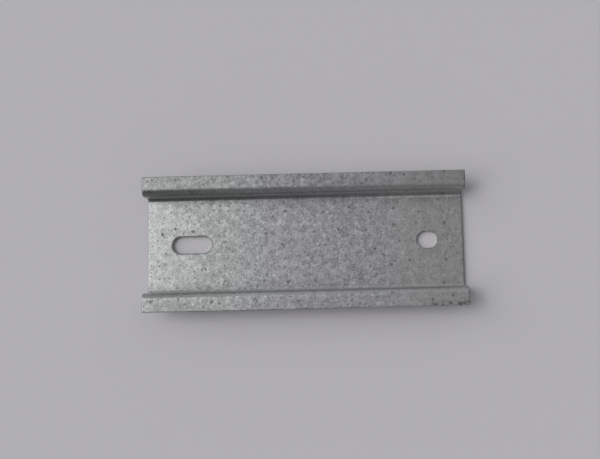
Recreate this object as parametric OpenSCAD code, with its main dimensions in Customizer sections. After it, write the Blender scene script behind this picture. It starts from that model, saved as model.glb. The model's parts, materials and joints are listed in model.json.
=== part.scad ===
// Top-hat mounting rail, a short length with two punched screw holes.
// One strip of galvanised steel is roll-formed into a flat web, two walls and two lips,
// cut off square and punched. The rail runs along Y, with its channel open upwards.
// Origin: middle of the underside of the web.

/* [Section] */
// Width over both lips
rail_w = 35; // [32:0.5:45]
// Clear width of the channel between its two walls
channel_w = 25; // [18:0.5:27]
// Height from the underside of the web to the top of the lips
rail_h = 7.5; // [6:0.5:15]
// Thickness of the steel strip
sheet_t = 1; // [0.8:0.1:1.5]
// Radius on the inside of each bend
bend_r = 0.8; // [0.4:0.1:1.2]

/* [Length] */
// Length of the piece
rail_l = 84; // [60:1:200]

/* [Punched holes] */
// Width of both punched holes, the usual clearance for an M4 screw
punch_w = 4.5; // [3.4:0.1:6.5]
// How far a screw can slide along the long slot
slot_travel = 6; // [1:0.1:12]
// From the near end of the rail to the middle of the long slot
slot_inset = 11.8; // [10:0.1:20]
// How far a screw can slide along the short hole
hole_travel = 1; // [0.2:0.1:3]
// From the far end of the rail to the middle of the short hole
hole_inset = 9.6; // [7:0.1:20]

/* [Edges] */
// Radius that the shears and punches leave on the channel side of a cut edge
edge_roll = 0.25; // [0.1:0.05:0.4]
// Radius on the slit edges of the strip, along both lips
slit_round = 0.2; // [0.05:0.05:0.35]

/* [Hidden] */
$fn = 96;
quarter = 90;
half_turn = 180;
// Punches and trimming cuts run this far past the steel
overcut = 1;
channel_x = channel_w / 2;
valley_x = channel_x - bend_r;
valley_z = sheet_t + bend_r;
crest_x = channel_x + sheet_t + bend_r;
crest_z = rail_h - sheet_t - bend_r;
lip_x = rail_w / 2;
slot_y = slot_inset - rail_l / 2;
hole_y = rail_l / 2 - hole_inset;

// The strip from its side: thickness along X from its channel side at 0, length along Y,
// with the channel side rolled over at both cut ends
module strip_outline() {
    cut_y = rail_l / 2;
    translate([edge_roll, -cut_y]) square([sheet_t - edge_roll, rail_l]);
    translate([0, edge_roll - cut_y]) square([sheet_t, rail_l - 2 * edge_roll]);
    for (end = [-1, 1])
        translate([edge_roll, end * (cut_y - edge_roll)]) circle(r = edge_roll);
}

// A flat of the section, from x = 0 to its width, with its channel side at z = 0
module flat(width) {
    rotate([0, quarter, 0]) linear_extrude(height = width) strip_outline();
}

// A quarter bend round the Y axis with its channel side inside, turning from down to +X
module valley_bend() {
    rotate([quarter, 0, 0]) rotate([0, 0, -quarter])
        rotate_extrude(angle = quarter)
            translate([bend_r, 0]) strip_outline();
}

// A quarter bend round the Y axis with its channel side outside, turning from up to -X
module crest_bend() {
    rotate([quarter, 0, 0]) rotate([0, 0, quarter])
        rotate_extrude(angle = quarter)
            translate([bend_r + sheet_t, 0]) mirror([1, 0]) strip_outline();
}

// One side of the hat: bend, wall, bend and lip
module side() {
    translate([valley_x, 0, valley_z]) valley_bend();
    translate([channel_x, 0, valley_z]) rotate([0, -quarter, 0]) flat(crest_z - valley_z);
    translate([crest_x, 0, crest_z]) crest_bend();
    translate([crest_x, 0, rail_h]) flat(lip_x - crest_x);
}

// Half section of a punched hole, from its middle to its wall, with the channel side of the
// web at height 0 and drawn in by the punch
module punch_outline() {
    wall = punch_w / 2;
    translate([0, -sheet_t - overcut]) square([wall, sheet_t + 2 * overcut]);
    difference() {
        translate([0, -edge_roll]) square([wall + edge_roll, edge_roll + overcut]);
        translate([wall + edge_roll, -edge_roll]) circle(r = edge_roll);
    }
}

// Punch with round ends, centred on the origin and long along Y: one outline carried round
module punch(travel) {
    for (turn = [0, half_turn])
        rotate([0, 0, turn]) translate([0, travel / 2, 0])
            rotate_extrude(angle = half_turn) punch_outline();
    rotate([quarter, 0, 0]) linear_extrude(height = travel, center = true) {
        punch_outline();
        mirror([1, 0]) punch_outline();
    }
}

// Waste round one slit edge of a lip, whose square corner is the origin
module slit_waste() {
    rotate([quarter, 0, 0]) linear_extrude(height = rail_l + 2 * overcut, center = true)
        difference() {
            translate([-slit_round, -slit_round]) square(slit_round + overcut);
            translate([-slit_round, -slit_round]) circle(r = slit_round);
        }
}

// Both slit edges of the lip on one side, at its channel side and its underside
module lip_trim() {
    translate([lip_x, 0, rail_h]) slit_waste();
    translate([lip_x, 0, rail_h - sheet_t]) mirror([0, 0, 1]) slit_waste();
}

module rail() {
    color("darkgray") difference() {
        union() {
            translate([-valley_x, 0, sheet_t]) flat(2 * valley_x);
            side();
            mirror([1, 0, 0]) side();
        }
        lip_trim();
        mirror([1, 0, 0]) lip_trim();
        translate([0, slot_y, sheet_t]) punch(slot_travel);
        translate([0, hole_y, sheet_t]) punch(hole_travel);
    }
}

rail();
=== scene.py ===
import json
import math

import bmesh
import bpy
import numpy as np
from mathutils import Euler, Matrix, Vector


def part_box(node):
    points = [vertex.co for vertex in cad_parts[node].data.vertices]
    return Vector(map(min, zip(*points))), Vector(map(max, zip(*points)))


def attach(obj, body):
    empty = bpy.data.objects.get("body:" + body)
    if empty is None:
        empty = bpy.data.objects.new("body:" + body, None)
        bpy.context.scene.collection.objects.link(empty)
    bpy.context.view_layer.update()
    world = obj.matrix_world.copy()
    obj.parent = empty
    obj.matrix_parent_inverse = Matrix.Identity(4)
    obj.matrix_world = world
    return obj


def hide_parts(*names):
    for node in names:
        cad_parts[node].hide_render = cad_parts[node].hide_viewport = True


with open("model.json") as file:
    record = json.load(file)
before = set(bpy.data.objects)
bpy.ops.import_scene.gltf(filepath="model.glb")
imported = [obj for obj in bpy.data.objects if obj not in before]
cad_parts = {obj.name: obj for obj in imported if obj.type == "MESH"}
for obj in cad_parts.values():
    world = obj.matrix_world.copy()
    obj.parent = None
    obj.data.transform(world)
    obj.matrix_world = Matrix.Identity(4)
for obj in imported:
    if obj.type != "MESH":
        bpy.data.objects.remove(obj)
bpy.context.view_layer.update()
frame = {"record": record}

# ---- The rail: its shape -----------------------------------------------------------------
# One length of galvanised steel strip, roll-formed into a flat web, two walls and two lips,
# sheared off square and punched. It is worked out as the flat blank that it was made from:
# across the strip, along it, and down through the sheet from its channel side, in millimetres.
MM = 0.001
rail_low, rail_high = (np.array(corner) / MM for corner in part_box("rail"))
lip_edge, half_length, lip_top = rail_high
sheet = 1.0
bend = 0.8
channel = 12.5

crest_x = channel + sheet + bend
crest_z = lip_top - sheet - bend

# Where each stretch of the section ends, measured from the middle of the web along its
# channel side: web, valley bend, wall, crest bend, lip
quarter = math.pi / 2
web_end = channel - bend
valley_end = web_end + quarter * bend
wall_end = valley_end + crest_z - sheet - bend
crest_end = wall_end + quarter * (bend + sheet)
strip_edge = crest_end + lip_edge - crest_x


def section(across):
    """Where a point of the strip lies on the bent section, and the way its channel side faces.

    Straight stretches run on at one heading. On a bend the point turns about the bend's centre
    by arc length over radius, on the inside of the valley bend and the outside of the crest.
    """
    side = np.where(across < 0, -1.0, 1.0)
    run = np.abs(across)
    valley = np.clip((run - web_end) / bend, 0, quarter)
    crest = np.clip((run - wall_end) / (bend + sheet), 0, quarter)
    heading = valley - crest
    x = np.minimum(run, web_end) + bend * np.sin(valley)
    x = x + (bend + sheet) * (1 - np.cos(crest)) + np.maximum(run - crest_end, 0)
    z = sheet + bend * (1 - np.cos(valley)) + (bend + sheet) * np.sin(crest)
    z = z + np.clip(run - valley_end, 0, wall_end - valley_end)
    return side * x, z, -side * np.sin(heading), np.cos(heading)


def unevenness(across, along):
    """How far the sheet stands off true: a sum of long shallow sine waves along and across."""
    long_wave = 0.012 * np.sin(along / 9.0 + 0.6) * np.cos(across / 8.5 + 0.3)
    short_wave = 0.006 * np.sin(along / 4.1 + across / 5.3 + 1.1)
    return long_wave + short_wave + 0.004 * np.sin(along / 2.3 - across / 3.1)


# Shears and punches draw the channel side of the sheet down over a wide, shallow roll and
# leave the far side nearly sharp. A cut face is clean for its upper part and torn below. The
# slit edges of the strip are lightly rounded.
roll_wide = 0.42
roll_deep = 0.20
burr_side = 0.05
slit_round = 0.18
clean_deep = 0.38
torn_deep = 0.5
torn_back = 0.05
torn_inward = 0.6


def torn(down):
    """How far the lower, torn part of a cut face lies back from the part that was cut clean."""
    return torn_back * np.clip((down - clean_deep) / torn_deep, 0, 1)


def rounded(across, along, down):
    """The block of the blank with its outer edges rounded and its torn ends set back.

    A point on the sharp block is measured from an inner block, one rounding smaller on each
    side, and the way out to it is scaled back on to the ellipse of the rounding there.
    """
    upper = down < sheet / 2
    wide = np.where(upper, roll_wide, burr_side)
    deep = np.where(upper, roll_deep, burr_side)
    size = (slit_round, wide, deep)
    core = (
        np.clip(across, slit_round - strip_edge, strip_edge - slit_round),
        np.clip(along, wide - half_length, half_length - wide),
        np.clip(down, deep, sheet - deep),
    )
    sharp = (across, along, down)
    out = [(point - inner) / reach for point, inner, reach in zip(sharp, core, size)]
    length = np.maximum(np.sqrt(sum(part * part for part in out)), 1e-9)
    across, along, down = (
        inner + reach * part / length for inner, reach, part in zip(core, size, out)
    )
    near_end = np.clip(1 - (half_length - np.abs(along)) / torn_inward, 0, 1)
    return across, along - np.sign(along) * near_end * torn(down), down


def formed(across, along, down):
    """The blank bent into the rail: each point goes below its place on the section, in metres."""
    x, z, face_x, face_z = section(across)
    depth = down - unevenness(across, along)
    return np.stack([x - depth * face_x, along, z - depth * face_z], axis=-1) * MM


# The two holes are where the record's screw mounts are: round-ended, one long and one short.
# Each is kept as its middle, half of its straight part, and the radius of its ends.
holes = []
for mount in frame["record"]["mounts"]:
    if mount["kind"] == "bolt_pattern":
        end_radius = mount["dims"]["hole_r_mm"]
        straight = mount["dims"]["slot_length_mm"] / 2 - end_radius
        holes.append((mount["pos_m"][1] / MM, straight, end_radius))


def hole_gap(across, along):
    """How far a point of the blank is from the wall of the nearest hole."""
    gaps = [
        np.hypot(across, along - np.clip(along, middle - straight, middle + straight)) - end_radius
        for middle, straight, end_radius in holes
    ]
    return np.minimum.reduce(gaps)


def graded(low, high, step):
    """Evenly spaced lines from low to high, no further apart than the step."""
    return np.linspace(low, high, math.ceil((high - low) / step) + 1)


def eased(radius, steps):
    """Lines across a rounded edge at equal turns of it, as distances in from its sharp corner."""
    return radius * (1 - np.tan(np.linspace(0, math.pi / 4, steps + 1)))


def lines(*groups):
    """The lines of several groups, each once and in order."""
    return np.unique(np.round(np.concatenate(groups), 6))


# The lines of the sheet's grid, closer together on the bends and down the cut faces. A line
# follows each rounded edge at a small margin, so that the flat beside it is shaded flat. Round
# each hole the sheet is a panel of its own, which meets the grid this far from the hole's
# middle line.
mesh_step = 0.55
valley_step = 0.16
crest_step = 0.20
wall_step = 0.09
margin = 0.03
end_bands = [0.75, 1.1, 1.6]
panel = 6.0
panel_ends = [
    middle + way * (straight + panel) for middle, straight, end_radius in holes for way in (-1, 1)
]
inside_ends = half_length - end_bands[-1]
stops = lines([-inside_ends, inside_ends], panel_ends)
end_lines = lines(eased(roll_wide, 5), eased(burr_side, 2), [roll_wide + margin], end_bands)
along_lines = lines(
    end_lines - half_length, half_length - end_lines,
    *(graded(low, high, mesh_step) for low, high in zip(stops[:-1], stops[1:])),
)
half_lines = lines(
    graded(0, panel, mesh_step),
    graded(panel, web_end, mesh_step),
    graded(web_end, valley_end, valley_step),
    graded(valley_end, wall_end, mesh_step),
    graded(wall_end, crest_end, crest_step),
    graded(crest_end, strip_edge - slit_round - margin, mesh_step),
    strip_edge - eased(slit_round, 4),
)
across_lines = lines(-half_lines, half_lines)
down_lines = lines(
    eased(roll_deep, 5),
    graded(roll_deep + margin, sheet - burr_side - margin, wall_step),
    sheet - eased(burr_side, 2),
)


def face_of_block(across, along, down):
    """One face of the blank's block as a grid, from two sets of lines and one fixed place."""
    fixed = [np.size(places) for places in (across, along, down)].index(1)
    grid = np.meshgrid(across, along, down, indexing="ij")
    return [np.squeeze(part, axis=fixed) for part in grid]


def corners(rows, columns):
    """The four corners of every cell of a grid whose points are numbered row by row."""
    first = np.arange(rows - 1)[:, None] * columns + np.arange(columns - 1)
    return np.stack([first, first + 1, first + columns + 1, first + columns], axis=-1)


# Each punch draws the sheet down round its hole less than the shears do at the ends
rim_wide = 0.16
rim_deep = 0.07


def punched_panel(middle, straight, end_radius):
    """The sheet round a hole: one profile carried round the hole, from panel edge to panel edge.

    Each line runs from a point of the panel's edge straight towards the nearest point of the
    hole's middle line. It crosses the channel side, turns down over the roll, goes down the
    wall of the hole, turns under it and runs back out to the same point of the edge.
    """
    x = across_lines[np.abs(across_lines) <= panel + margin]
    y = along_lines[np.abs(along_lines - middle) <= straight + panel + margin]
    low_x, high_x = np.full(y.size, x[0]), np.full(y.size, x[-1])
    low_y, high_y = np.full(x.size, y[0]), np.full(x.size, y[-1])
    edge_x = np.concatenate([x[:-1], high_x[:-1], x[:0:-1], low_x])
    edge_y = np.concatenate([low_y[:-1], y[:-1], high_y[:-1], y[::-1]])
    spine = np.clip(edge_y, middle - straight, middle + straight)
    far = np.hypot(edge_x, edge_y - spine)
    reach = far - end_radius

    spread = np.linspace(1, 0, 11) ** 1.4
    turn = np.linspace(0, quarter, 6)
    wall = graded(rim_deep + margin, sheet - burr_side - margin, wall_step)
    under = torn(sheet)
    profile = [(rim_wide + margin, share, 0) for share in spread]
    profile += [(rim_wide * (1 - math.sin(t)), 0, rim_deep * (1 - math.cos(t))) for t in turn]
    profile += [(torn(depth), 0, depth) for depth in wall]
    profile += [
        (under + burr_side * (1 - math.cos(t)), 0, sheet - burr_side * (1 - math.sin(t)))
        for t in turn[::2]
    ]
    profile += [(under + burr_side + margin, share, sheet) for share in spread[::-1]]
    off_wall, share, down = (np.array(part)[:, None] for part in zip(*profile))
    distance = off_wall + (reach - off_wall) * share + end_radius
    across = edge_x * distance / far
    along = spine + (edge_y - spine) * distance / far
    return across, along, down + 0 * across


# The block's six faces and the two panels. The two broad faces leave room for the panels.
patches = []
for down in (0.0, sheet):
    patches.append(face_of_block(across_lines, along_lines, down))
for end in (-half_length, half_length):
    patches.append(face_of_block(across_lines, end, down_lines))
for edge in (-strip_edge, strip_edge):
    patches.append(face_of_block(edge, along_lines, down_lines))
patches = [rounded(*patch) for patch in patches]
patches += [punched_panel(*hole) for hole in holes]

blank = np.concatenate([np.stack(patch, axis=-1).reshape(-1, 3) for patch in patches])
faces = []
start = 0
for number, (across, along, down) in enumerate(patches):
    cells = corners(*across.shape)
    if number < 2:
        mid_x = across.ravel()[cells].mean(axis=-1)
        mid_y = along.ravel()[cells].mean(axis=-1)
        in_panel = np.zeros(mid_x.shape, bool)
        for middle, straight, end_radius in holes:
            in_panel |= (np.abs(mid_x) < panel) & (np.abs(mid_y - middle) < straight + panel)
        cells = cells[~in_panel]
    faces.append(cells.reshape(-1, 4) + start)
    start += across.size
faces = np.concatenate(faces)

# Points that no cell is left on are dropped
used, new_numbers = np.unique(faces, return_inverse=True)
blank, faces = blank[used], new_numbers.reshape(faces.shape)

rail_mesh = bpy.data.meshes.new("rail_dressed")
rail_mesh.from_pydata(formed(*blank.T).tolist(), [], faces.tolist())
blank_place = rail_mesh.attributes.new("blank", "FLOAT_VECTOR", "POINT")
blank_place.data.foreach_set("vector", blank.astype(np.float32).ravel())
rim_place = rail_mesh.attributes.new("rim", "FLOAT", "POINT")
rim_place.data.foreach_set("value", np.clip(hole_gap(*blank[:, :2].T), 0, 9).astype(np.float32))

# Points that two patches share become one, so that the rail is a single closed skin
weld = 0.002 * MM
skin = bmesh.new()
skin.from_mesh(rail_mesh)
bmesh.ops.remove_doubles(skin, verts=skin.verts, dist=weld)
bmesh.ops.recalc_face_normals(skin, faces=skin.faces)
open_edges = sum(not edge.is_manifold for edge in skin.edges)
volume = skin.calc_volume() / MM ** 3
print("rail: %d faces, %d open edges, volume %.1f mm3" % (len(skin.faces), open_edges, volume))
skin.to_mesh(rail_mesh)
skin.free()
rail_mesh.shade_smooth()
rail = bpy.data.objects.new("rail_dressed", rail_mesh)
bpy.context.scene.collection.objects.link(rail)
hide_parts("rail")
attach(rail, "root")


# ---- The rail: its zinc ------------------------------------------------------------------
# Hot-dip zinc with a small dull spangle, gone matt in air, pitted and speckled with use. The
# edges that the punches and shears cut are bare steel, darker than the zinc.
class Wire:
    """A value on its way through a shader. Arithmetic on it adds Math nodes."""

    def __init__(self, finish, socket):
        self.finish = finish
        self.socket = socket

    def maths(self, operation, first, second=None):
        values = {0: first} if second is None else {0: first, 1: second}
        return self.finish.node("Math", {"operation": operation}, values)

    def output(self, name):
        """Another output of the node that this value comes from."""
        return Wire(self.finish, self.socket.node.outputs[name])

    def __add__(self, other):
        return self.maths("ADD", self, other)

    def __sub__(self, other):
        return self.maths("SUBTRACT", self, other)

    def __rsub__(self, other):
        return self.maths("SUBTRACT", other, self)

    def __mul__(self, other):
        return self.maths("MULTIPLY", self, other)

    def __truediv__(self, other):
        return self.maths("DIVIDE", self, other)

    def __abs__(self):
        return self.maths("ABSOLUTE", self)

    __radd__ = __add__
    __rmul__ = __mul__


class Finish:
    """A material, built node by node. The room's light is built in the same way."""

    def __init__(self, owner):
        self.owner = owner
        owner.use_nodes = True
        self.tree = owner.node_tree
        self.tree.nodes.clear()

    def node(self, kind, settings, sockets, output=0):
        """Adds a node: its settings first, then the value or the wire of each socket."""
        node = self.tree.nodes.new("ShaderNode" + kind)
        for name, value in settings.items():
            setattr(node, name, value)
        for name, value in sockets.items():
            if isinstance(value, Wire):
                self.tree.links.new(value.socket, node.inputs[name])
            else:
                node.inputs[name].default_value = value
        return Wire(self, node.outputs[output]) if node.outputs else None

    def rise(self, value, low, high):
        """0 below low and 1 above high, with a smooth step between."""
        return self.node(
            "MapRange", {"interpolation_type": "SMOOTHSTEP"},
            {"Value": value, "From Min": low, "From Max": high},
        )

    def noise(self, place, scale, detail=2.0, roughness=0.5, distortion=0.0):
        grain = {"Scale": scale, "Detail": detail, "Roughness": roughness, "Distortion": distortion}
        return self.node("TexNoise", {}, {"Vector": place, **grain})

    def mix(self, share, first, second):
        """From the first colour, where the share is 0, to the second, where it is 1.

        A Mix node has sockets of one name for each type of value, so they go by number here:
        0 is the share, 4 and 5 are the two vectors, and 1 is the vector that comes out.
        """
        return self.node("Mix", {"data_type": "VECTOR"}, {0: share, 4: first, 5: second}, 1)

    def channels(self, colour):
        """The three parts of a colour, each as a value from 0 to 1."""
        parts = self.node("SeparateColor", {}, {"Color": colour})
        return parts, parts.output("Green"), parts.output("Blue")

    def spots(self, place, scale, share, size, ragged):
        """Scattered spots: one in that share of the cells of a random net, of about that size."""
        net = {"voronoi_dimensions": "2D"}
        reach = self.node("TexVoronoi", net, {"Vector": place, "Scale": scale}, "Distance")
        chance, spread, _ = self.channels(reach.output("Color"))
        width = size * (0.6 + 0.8 * spread)
        inside = 1 - self.rise((reach / scale + ragged) / width, 0.55, 1.1)
        return inside * (1 - self.rise(chance, share, share + 0.02))

    def surface(self, sockets):
        shader = self.node("BsdfPrincipled", {}, sockets)
        self.node("OutputMaterial", {}, {"Surface": shader})


steel = Finish(bpy.data.materials.new("galvanised_steel"))
place = steel.node("Attribute", {"attribute_name": "blank"}, {}, "Vector")
rim = steel.node("Attribute", {"attribute_name": "rim"}, {}, "Fac")
across, along, down = (steel.node("SeparateXYZ", {}, {"Vector": place}, axis) for axis in "XYZ")
end_gap = half_length - abs(along)
slit_gap = strip_edge - abs(across)

# The spangle: two sizes of crystal with ragged edges, each of its own tone and tilted its own
# way, and dark seams where the larger ones meet
drift = steel.node("TexNoise", {}, {"Vector": place, "Scale": 1.6, "Detail": 3.0}, "Color")
ragged_place = steel.node(
    "VectorMath", {"operation": "MULTIPLY_ADD"}, {0: drift, 1: (0.7, 0.7, 0.7), 2: place}
)
crystal = steel.node("TexVoronoi", {}, {"Vector": ragged_place, "Scale": 1.2}, "Color")
fine_crystal = steel.node("TexVoronoi", {}, {"Vector": ragged_place, "Scale": 2.4}, "Color")
seam_reach = steel.node(
    "TexVoronoi", {"feature": "DISTANCE_TO_EDGE"}, {"Vector": ragged_place, "Scale": 1.2}, "Distance"
)
mottle = steel.noise(place, 1.9, 4.0, 0.62, 0.4)
blotch = steel.noise(place, 0.45, 2.0)
cloud = steel.noise(place, 0.13, 2.0)
seam = (1 - steel.rise(seam_reach, 0.0, 0.16)) * steel.rise(mottle, 0.35, 0.6)
crystal_tone = steel.channels(crystal)[0]
fine_tone = steel.channels(fine_crystal)[1]
spangle = 0.24 * (crystal_tone - 0.5) + 0.22 * (fine_tone - 0.5) + 0.50 * (mottle - 0.5)
spangle = spangle + 0.35 * (blotch - 0.5) - 0.2 * seam
fleck = steel.rise(steel.noise(place, 1.5, 2.0), 0.60, 0.66)
gleam = steel.rise(steel.noise(place, 1.8, 2.0, 0.6), 0.61, 0.67)
spangle = spangle - 0.15 * fleck + 0.10 * gleam

# It stands out most over the middle of the rail, and least where the rolls bent the sheet. Towards
# the end with the short hole the zinc carries a little painted shade, where less of the window's
# light falls.
bent = steel.rise(abs(across), web_end, web_end + 0.6)
bent = bent * (1 - steel.rise(abs(across), crest_end - 0.8, crest_end))
contrast = (1.5 - 0.7 * steel.rise(abs(along + 5), 18, 36)) * (1 - 0.65 * bent)
# painted shade: a little darker towards the short-hole end
shaded_end = steel.rise(along, 25, 33)
tone = (0.94 + contrast * spangle + 0.10 * (cloud - 0.5)) * (1 - 0.07 * shaded_end)

# Small dark pits, larger specks of dirt, and pale blots of fresher zinc. The underside has
# fainter spots of its own: its part of the net lies far from that of the channel side.
underside = steel.rise(down, 0.4, 0.6)
net_place = steel.node("CombineXYZ", {}, {"X": across + 90 * underside, "Y": along})
ragged = 0.5 * (mottle - 0.5)
pit = steel.spots(net_place, 0.62, 0.62, 0.21, ragged) * (1 - 0.5 * underside)
speck = steel.spots(net_place, 0.21, 0.45, 0.38, ragged) * (1 - 0.5 * underside)
blot = steel.spots(net_place, 0.37, 0.35, 0.50, ragged)
tone = tone * (1 - 0.48 * pit) * (1 - 0.60 * speck) * (1 + 0.15 * blot)

# The forming rolls drew faint lines along everything outside the web and burnished the outer
# bends. The far lip is darker than the near one, and both lips are darker at the slotted end. The
# walls carry painted light, more of it towards the short-hole end of the far wall, and a painted
# highlight runs along the foot of the far wall. On the far crest, painted light lies towards the
# short-hole end and painted shade towards the slotted end.
formed_part = steel.rise(abs(across), web_end, web_end + 0.5)
roll_place = steel.node("CombineXYZ", {}, {"X": 2.2 * across, "Y": 0.05 * along})
roll_lines = steel.noise(roll_place, 1.0, 2.0)
far_side = steel.rise(across, 1.0, -1.0)
burnish_and_sheen = 1 - steel.rise(abs(abs(across) - (wall_end + crest_end) / 2), 0.9, 1.6)
far_lip = steel.rise(0 - across, wall_end - 0.4, wall_end + 0.3)
lips = steel.rise(abs(across), wall_end + 0.3, crest_end - 0.5)
# painted light: the walls are lightened, the far wall more towards the short-hole end
walls = steel.rise(abs(across), web_end + 0.2, web_end + 0.8)
walls = walls * (1 - steel.rise(abs(across), wall_end + 0.2, wall_end + 1.0))
# a painted highlight along the foot of the far wall, on the short-hole half
foot_highlight = (1 - steel.rise(abs(across + web_end - 0.05), 0.08, 0.36)) * steel.rise(along, 2, 30)
tone = tone * (1 + 0.25 * formed_part * (roll_lines - 0.5)) * (1 + 0.55 * foot_highlight)
tone = tone * (1 - 0.18 * far_lip) * (1 - 0.20 * lips * (1 - steel.rise(along, -38, -16)))
tone = tone * (1 + walls * (0.50 + far_side * (0.005 * along - 0.18)))
# burnish on both crests; on the far crest also painted light towards the short-hole end and painted
# shade towards the slotted end
tone = tone * (1 + burnish_and_sheen * (0.06 + far_side * (0.007 * along - 0.06)))

# Painted shade darkens the bend below the far lip, and less the one below the near lip, both more
# towards the slotted end. Dirt lies in a few crumbs on the near lip's edge.
far_foot_shade = 1 - steel.rise(abs(across + valley_end - 0.5), 0.3, 0.75)
near_foot_shade = steel.rise(across, web_end - 1.3, web_end)
near_foot_shade = near_foot_shade * (1 - steel.rise(across, web_end, web_end + 0.6))
crumbs = steel.rise(steel.noise(place, 1.1, 3.0, 0.6), 0.50, 0.56)
crumbs = crumbs * steel.rise(across, strip_edge - 1.7, strip_edge - 0.7) * steel.rise(along, 29, 34)
# painted shade in the two bends, heavier towards the slotted end
tone = tone * (1 - far_foot_shade * (0.44 - 0.004 * along)) * (1 - near_foot_shade * (0.15 - 0.003 * along))
tone = tone * (1 - 0.6 * crumbs)

# Bare steel on the cut edges: the sheared ends, the rims and walls of the holes, and the slit
# edges. The sheared end by the short hole also carries painted shade, as it faces away from the
# window.
end_edge = 1 - steel.rise(end_gap, 0.1, 0.45)
upper = 1 - steel.rise(down, rim_deep, rim_deep + 0.1)
rim_edge = (1 - steel.rise(rim, 0.20, 0.40)) * upper
bore = (1 - steel.rise(rim, 0.20, 0.40)) * (1 - upper)
slit_edge = 1 - steel.rise(slit_gap, 0.02, 0.18)
# bare steel at both sheared ends, with painted shade added at the short-hole end
end_dark_and_shade = 0.15 + 0.30 * steel.rise(along, 0, 1)
tone = tone * (1 - 0.45 * rim_edge) * (1 + 0.35 * bore)
tone = tone * (1 - 0.30 * slit_edge) * (1 - end_dark_and_shade * end_edge)

# The zinc's own grey, a touch green at the slotted end and a touch warm at the other
green_grey = (0.360, 0.369, 0.360)
plain_grey = (0.368, 0.366, 0.371)
warm_grey = (0.368, 0.366, 0.359)
tint = steel.mix(steel.rise(along, -30, -4), green_grey, plain_grey)
tint = steel.mix(steel.rise(along, 12, 34), tint, warm_grey)
colour = steel.node("VectorMath", {"operation": "SCALE"}, {0: tint, "Scale": tone})
normal = steel.node("NewGeometry", {}, {}, "Normal")
for tilts in (crystal, fine_crystal):
    tilt = steel.node("VectorMath", {"operation": "SUBTRACT"}, {0: tilts, 1: (0.5, 0.5, 0.5)})
    normal = steel.node(
        "VectorMath", {"operation": "MULTIPLY_ADD"}, {0: tilt, 1: (0.04, 0.04, 0.04), 2: normal}
    )
normal = steel.node("VectorMath", {"operation": "NORMALIZE"}, {0: normal})
relief = mottle + 0.4 * fine_tone - 1.5 * pit - 0.3 * seam
relief_deep = 0.00001
skin_bump = steel.node(
    "Bump", {}, {"Strength": 1.0, "Distance": relief_deep, "Height": relief, "Normal": normal}
)
dull = steel.node("Math", {"operation": "MAXIMUM"}, {0: rim_edge + end_edge, 1: 0.6 * pit})
steel.surface({
    "Base Color": colour,
    "Metallic": 0.65 + 0.10 * burnish_and_sheen - 0.30 * speck - 0.35 * dull,
    "Roughness": 0.34 - 0.04 * burnish_and_sheen + 0.20 * (mottle - 0.5) + 0.15 * speck + 0.3 * dull,
    "Normal": skin_bump,
})
rail_mesh.materials.append(steel.owner)


# ---- The table ---------------------------------------------------------------------------
# A plain pale table top that the rail lies on. It carries on past the view on every side, and
# lies a hair below the rail's underside.
table_half = 3.0
table_top = rail_low[2] * MM - 0.00003
table_corners = ((-1, -1), (1, -1), (1, 1), (-1, 1))
table_mesh = bpy.data.meshes.new("table")
table_mesh.from_pydata(
    [(x * table_half, y * table_half, table_top) for x, y in table_corners], [], [(0, 1, 2, 3)]
)
table = bpy.data.objects.new("table", table_mesh)
bpy.context.scene.collection.objects.link(table)
pale = Finish(bpy.data.materials.new("table_top"))
pale.surface({"Base Color": (0.458, 0.443, 0.459, 1.0), "Roughness": 0.9, "Specular IOR Level": 0.2})
table_mesh.materials.append(pale.owner)


# ---- The light ---------------------------------------------------------------------------
# Soft daylight: a broad low window past the slotted end of the rail with a brighter patch
# higher up, and a pale room whose ceiling is darker on the near side.
def soft_lamp(name, energy, size, lean_x, lean_y):
    """A far light: how wide it looks and how it leans from overhead are in degrees."""
    lamp = bpy.data.lights.new(name, "SUN")
    lamp.energy = energy
    lamp.angle = math.radians(size)
    lamp.color = (1.0, 1.0, 1.0)
    light = bpy.data.objects.new(name, lamp)
    light.rotation_euler = (math.radians(lean_y), math.radians(lean_x), 0)
    bpy.context.scene.collection.objects.link(light)


soft_lamp("window", 2.06, 60, -10, 60)
soft_lamp("window_top", 0.91, 30, -10, 30)

room = Finish(bpy.data.worlds.new("room"))
direction = room.node("TexCoord", {}, {}, "Generated")
near_side = room.node("SeparateXYZ", {}, {"Vector": direction}, "X")
upward = room.node("SeparateXYZ", {}, {"Vector": direction}, "Z")
strength = 0.40 - 0.41 * near_side * upward
sky = room.node("Background", {}, {"Color": (0.93, 0.95, 1.0, 1.0), "Strength": strength})
room.node("OutputWorld", {}, {"Surface": sky})
bpy.context.scene.world = room.owner


# ---- The camera --------------------------------------------------------------------------
# It looks almost straight down from hand height, with the rail lying left to right.
camera_data = bpy.data.cameras.new("camera")
camera_data.sensor_width = 36.0
camera_data.lens = 41.47
camera_data.shift_x = -0.05
camera = bpy.data.objects.new("camera", camera_data)
bpy.context.scene.collection.objects.link(camera)
camera.location = (0.01441, 0.00700, 0.18469)
tilt_from_plumb = Euler((math.radians(5.503), math.radians(0.244), math.radians(-1.363)), "XYZ")
quarter_turn = Matrix.Rotation(math.radians(90), 3, "Z")
camera.rotation_euler = (quarter_turn @ tilt_from_plumb.to_matrix()).to_euler()
bpy.context.scene.camera = camera
bpy.context.scene.view_settings.view_transform = "Standard"
